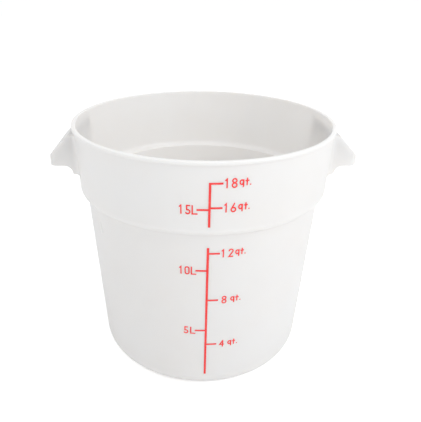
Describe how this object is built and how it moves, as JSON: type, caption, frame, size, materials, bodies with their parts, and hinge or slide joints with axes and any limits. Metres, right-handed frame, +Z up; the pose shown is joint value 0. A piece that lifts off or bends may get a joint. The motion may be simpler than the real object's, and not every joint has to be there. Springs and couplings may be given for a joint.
{
  "type": "round food storage container",
  "caption": "Round open-topped translucent plastic container with a wider upper band, two hollow ear handles under the rim and a printed volume scale.",
  "frame": {"origin": "centre of the base, on the surface it stands on", "axes": "+Z up; the printed scale faces -Y; the two handles lie along +X and -X"},
  "size_m": [0.361, 0.3154, 0.3075],
  "materials": {
    "polypropylene": "natural translucent polypropylene, satin gloss as moulded",
    "print_ink": "screen-printed red ink"
  },
  "bodies": {
    "root": {"floor_pan": "polypropylene", "base_corner": "polypropylene", "lower_wall": "polypropylene", "shoulder": "polypropylene", "upper_band": "polypropylene", "rim_bead": "polypropylene", "handle_right": "polypropylene", "handle_left": "polypropylene", "scale_line": "print_ink", "quart_ticks": "print_ink", "litre_ticks": "print_ink"}
  },
  "joints": []
}
